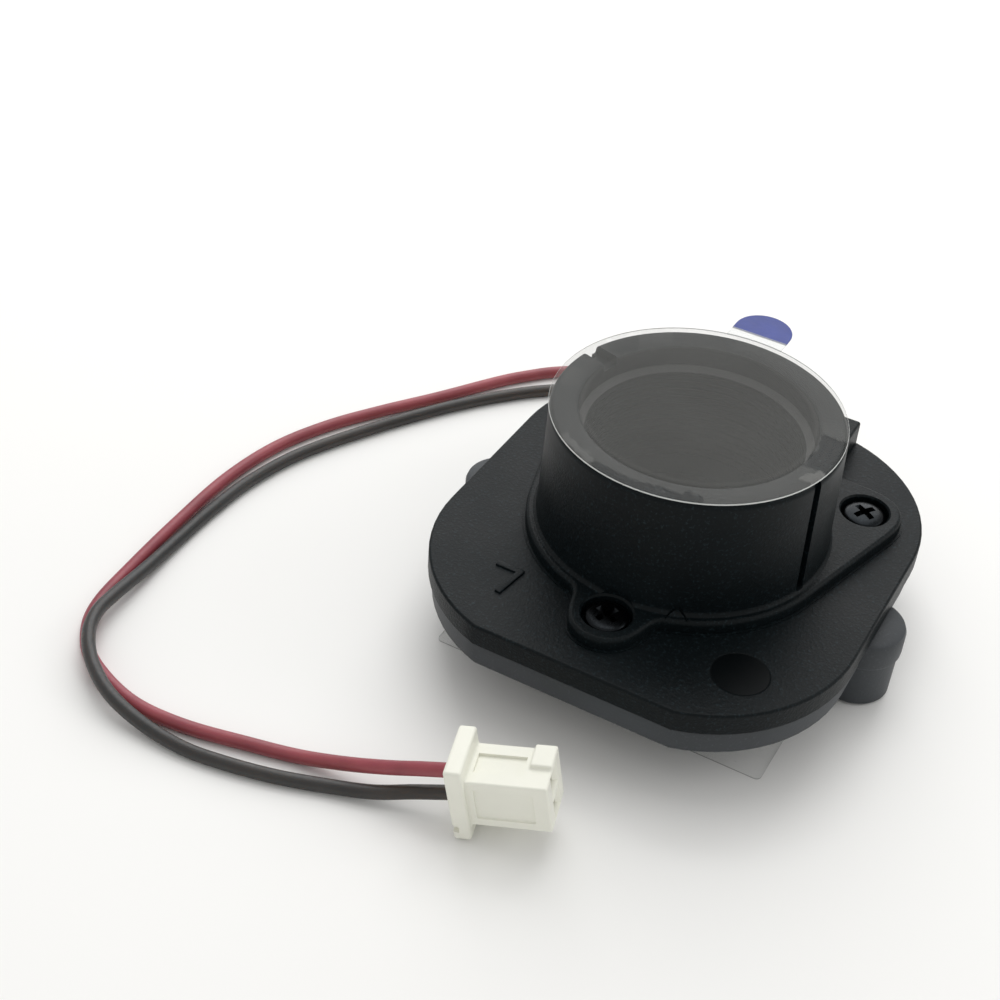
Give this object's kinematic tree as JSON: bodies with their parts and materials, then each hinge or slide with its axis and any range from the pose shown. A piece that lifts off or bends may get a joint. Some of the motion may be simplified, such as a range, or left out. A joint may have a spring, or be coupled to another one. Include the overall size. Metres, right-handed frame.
{
  "type": "filter switching lens holder",
  "caption": "Camera-module lens holder with a threaded barrel and an internal filter that a small two-wire actuator slides across the light path.",
  "frame": {"origin": "on the optical axis, at the underside of the lower protective film, which is the resting surface", "axes": "+Z along the optical axis, out of the lens barrel; +X through the two fixing lugs; +Y towards the actuator hump"},
  "size_m": [0.0406, 0.0424, 0.0135],
  "materials": {
    "base_plastic": "moulded, fine grain",
    "cover_plastic": "moulded, fine matte grain",
    "carriage_plastic": "moulded, smooth",
    "ir_glass": "coated",
    "clear_glass": "polished",
    "bezel_plastic": "matte",
    "magnet": "sintered",
    "steel": "ground",
    "bobbin_plastic": "moulded",
    "copper_wire": "enamelled",
    "yoke_steel": "stamped",
    "tinned_metal": "tinned",
    "sealant": "cured",
    "black_steel": "black oxide",
    "gasket_rubber": "moulded",
    "clear_film": "clear film",
    "tab_blue": "film",
    "lead_red": "insulation",
    "lead_black": "insulation",
    "plug_plastic": "natural nylon"
  },
  "bodies": {
    "root": {"base_housing": "base_plastic", "top_cover": "cover_plastic", "rotor_shaft": "steel", "coil_bobbin": "bobbin_plastic", "coil_winding": "copper_wire", "stator_yoke": "yoke_steel", "terminal_pins": "tinned_metal", "inner_leads": "lead_black", "lead_seal": "sealant", "cover_screws": "black_steel", "sensor_gasket": "gasket_rubber", "base_film": "clear_film", "lead_red": "lead_red", "lead_black": "lead_black", "connector_housing": "plug_plastic", "crimp_contacts": "tinned_metal"},
    "carriage": {"filter_carriage": "carriage_plastic", "ir_cut_filter": "ir_glass", "clear_filter": "clear_glass", "filter_bezels": "bezel_plastic"},
    "rotor": {"rotor_arm": "carriage_plastic", "rotor_magnet": "magnet"},
    "upper_film": {"lens_film": "clear_film", "film_tab": "tab_blue"}
  },
  "joints": [
    {"name": "rotor_swing", "type": "hinge", "parent": "root", "child": "rotor", "pos_m": [0.0023, 0.01, 0.004], "axis": [0, 0, -1], "range_deg": [0, 71.16]},
    {"name": "carriage_slide", "type": "slide", "parent": "root", "child": "carriage", "axis": [-1, 0, 0], "range_m": [0, 0.0064]},
    {"name": "film_peel", "type": "hinge", "parent": "root", "child": "upper_film", "pos_m": [0, -0.00772, 0.0134], "axis": [1, 0, 0], "range_deg": [0, 150]}
  ],
  "couplings": [
    {"joint": "rotor_swing", "follows": "carriage_slide", "rad_per_m": 194.05}
  ]
}
